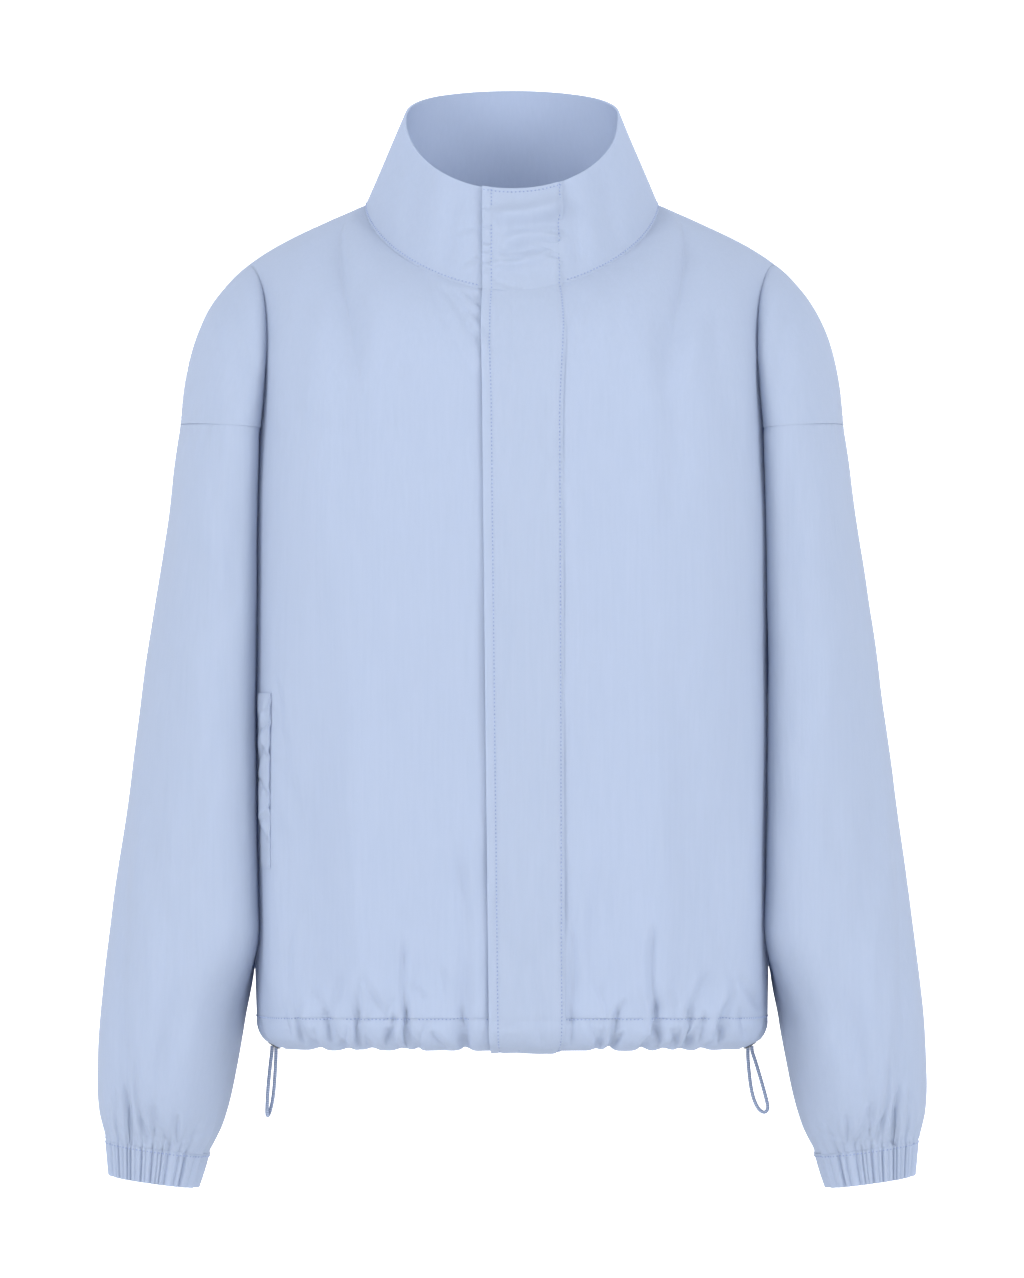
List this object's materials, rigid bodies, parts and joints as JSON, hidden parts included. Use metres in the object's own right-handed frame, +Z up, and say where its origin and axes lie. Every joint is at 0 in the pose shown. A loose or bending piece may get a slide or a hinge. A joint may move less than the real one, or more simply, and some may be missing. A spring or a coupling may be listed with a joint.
{
  "type": "windbreaker",
  "caption": "Hip-length windbreaker filled out as worn, with a funnel collar, storm flap, drop shoulders, elastic cuffs and a gathered drawcord hem.",
  "frame": {"origin": "on the midline at the height of the shoulder points beside the neck, where the wearer's shoulders carry it", "axes": "+Z up, the front faces -Y, +X towards the wearer's left"},
  "size_m": [0.5784, 0.2569, 0.7713],
  "materials": {
    "cloth": "matt light woven nylon",
    "cord": "braided elastic",
    "metal": "gunmetal"
  },
  "bodies": {
    "root": {"front_left": "cloth", "front_right": "cloth", "back": "cloth", "sleeve_left": "cloth", "sleeve_right": "cloth", "cuff_left": "cloth", "cuff_right": "cloth", "collar": "cloth", "placket": "cloth", "placket_neck": "cloth", "hem_front_left": "cloth", "hem_front_right": "cloth", "hem_back": "cloth", "pocket_left": "cloth", "pocket_right": "cloth", "cord_left": "cord", "cord_right": "cord", "eyelet_left": "metal", "eyelet_right": "metal"}
  },
  "joints": []
}
